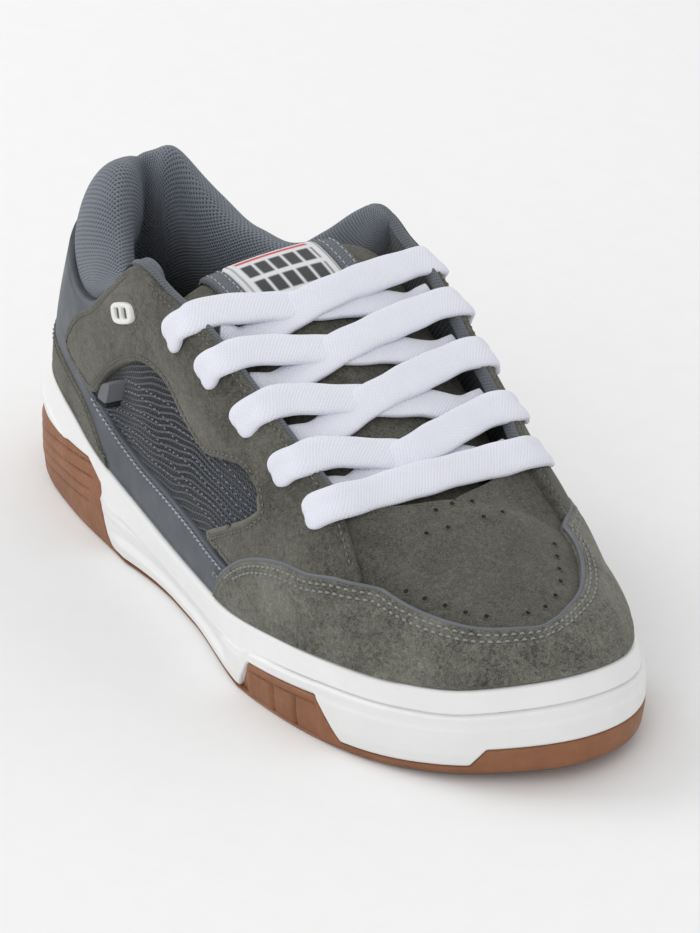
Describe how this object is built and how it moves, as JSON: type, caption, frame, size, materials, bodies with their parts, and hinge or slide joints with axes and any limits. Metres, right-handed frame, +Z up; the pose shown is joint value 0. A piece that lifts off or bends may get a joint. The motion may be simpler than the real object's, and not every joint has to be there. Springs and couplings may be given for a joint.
{
  "type": "skateboarding shoe",
  "caption": "Low right-foot skateboarding shoe with cup sole, suede and mesh upper, padded collar and tongue, and crossed flat laces.",
  "frame": {"origin": "on the floor, under the middle of the sole", "axes": "+X from heel to toe, +Y to the inner side of the foot, +Z up"},
  "size_m": [0.2996, 0.1122, 0.1135],
  "materials": {
    "gum_rubber": "satin",
    "white_rubber": "satin",
    "suede": "napped",
    "leather": "satin",
    "mesh": "woven",
    "lining": "woven",
    "white_plastic": "satin",
    "woven_label": "woven",
    "black_woven": "woven",
    "lace_cotton": "woven"
  },
  "bodies": {
    "root": {"outsole": "gum_rubber", "midsole": "white_rubber", "insole": "lining", "upper": "mesh", "eyestay_lateral": "suede", "eyestay_medial": "suede", "quarter_lateral": "leather", "quarter_medial": "leather", "toe_cap": "suede", "heel_counter": "suede", "vent_lateral": "white_plastic", "vent_medial": "white_plastic", "side_tab": "black_woven", "collar_lining": "lining", "tongue": "suede", "tongue_label": "woven_label", "laces": "lace_cotton"}
  },
  "joints": []
}
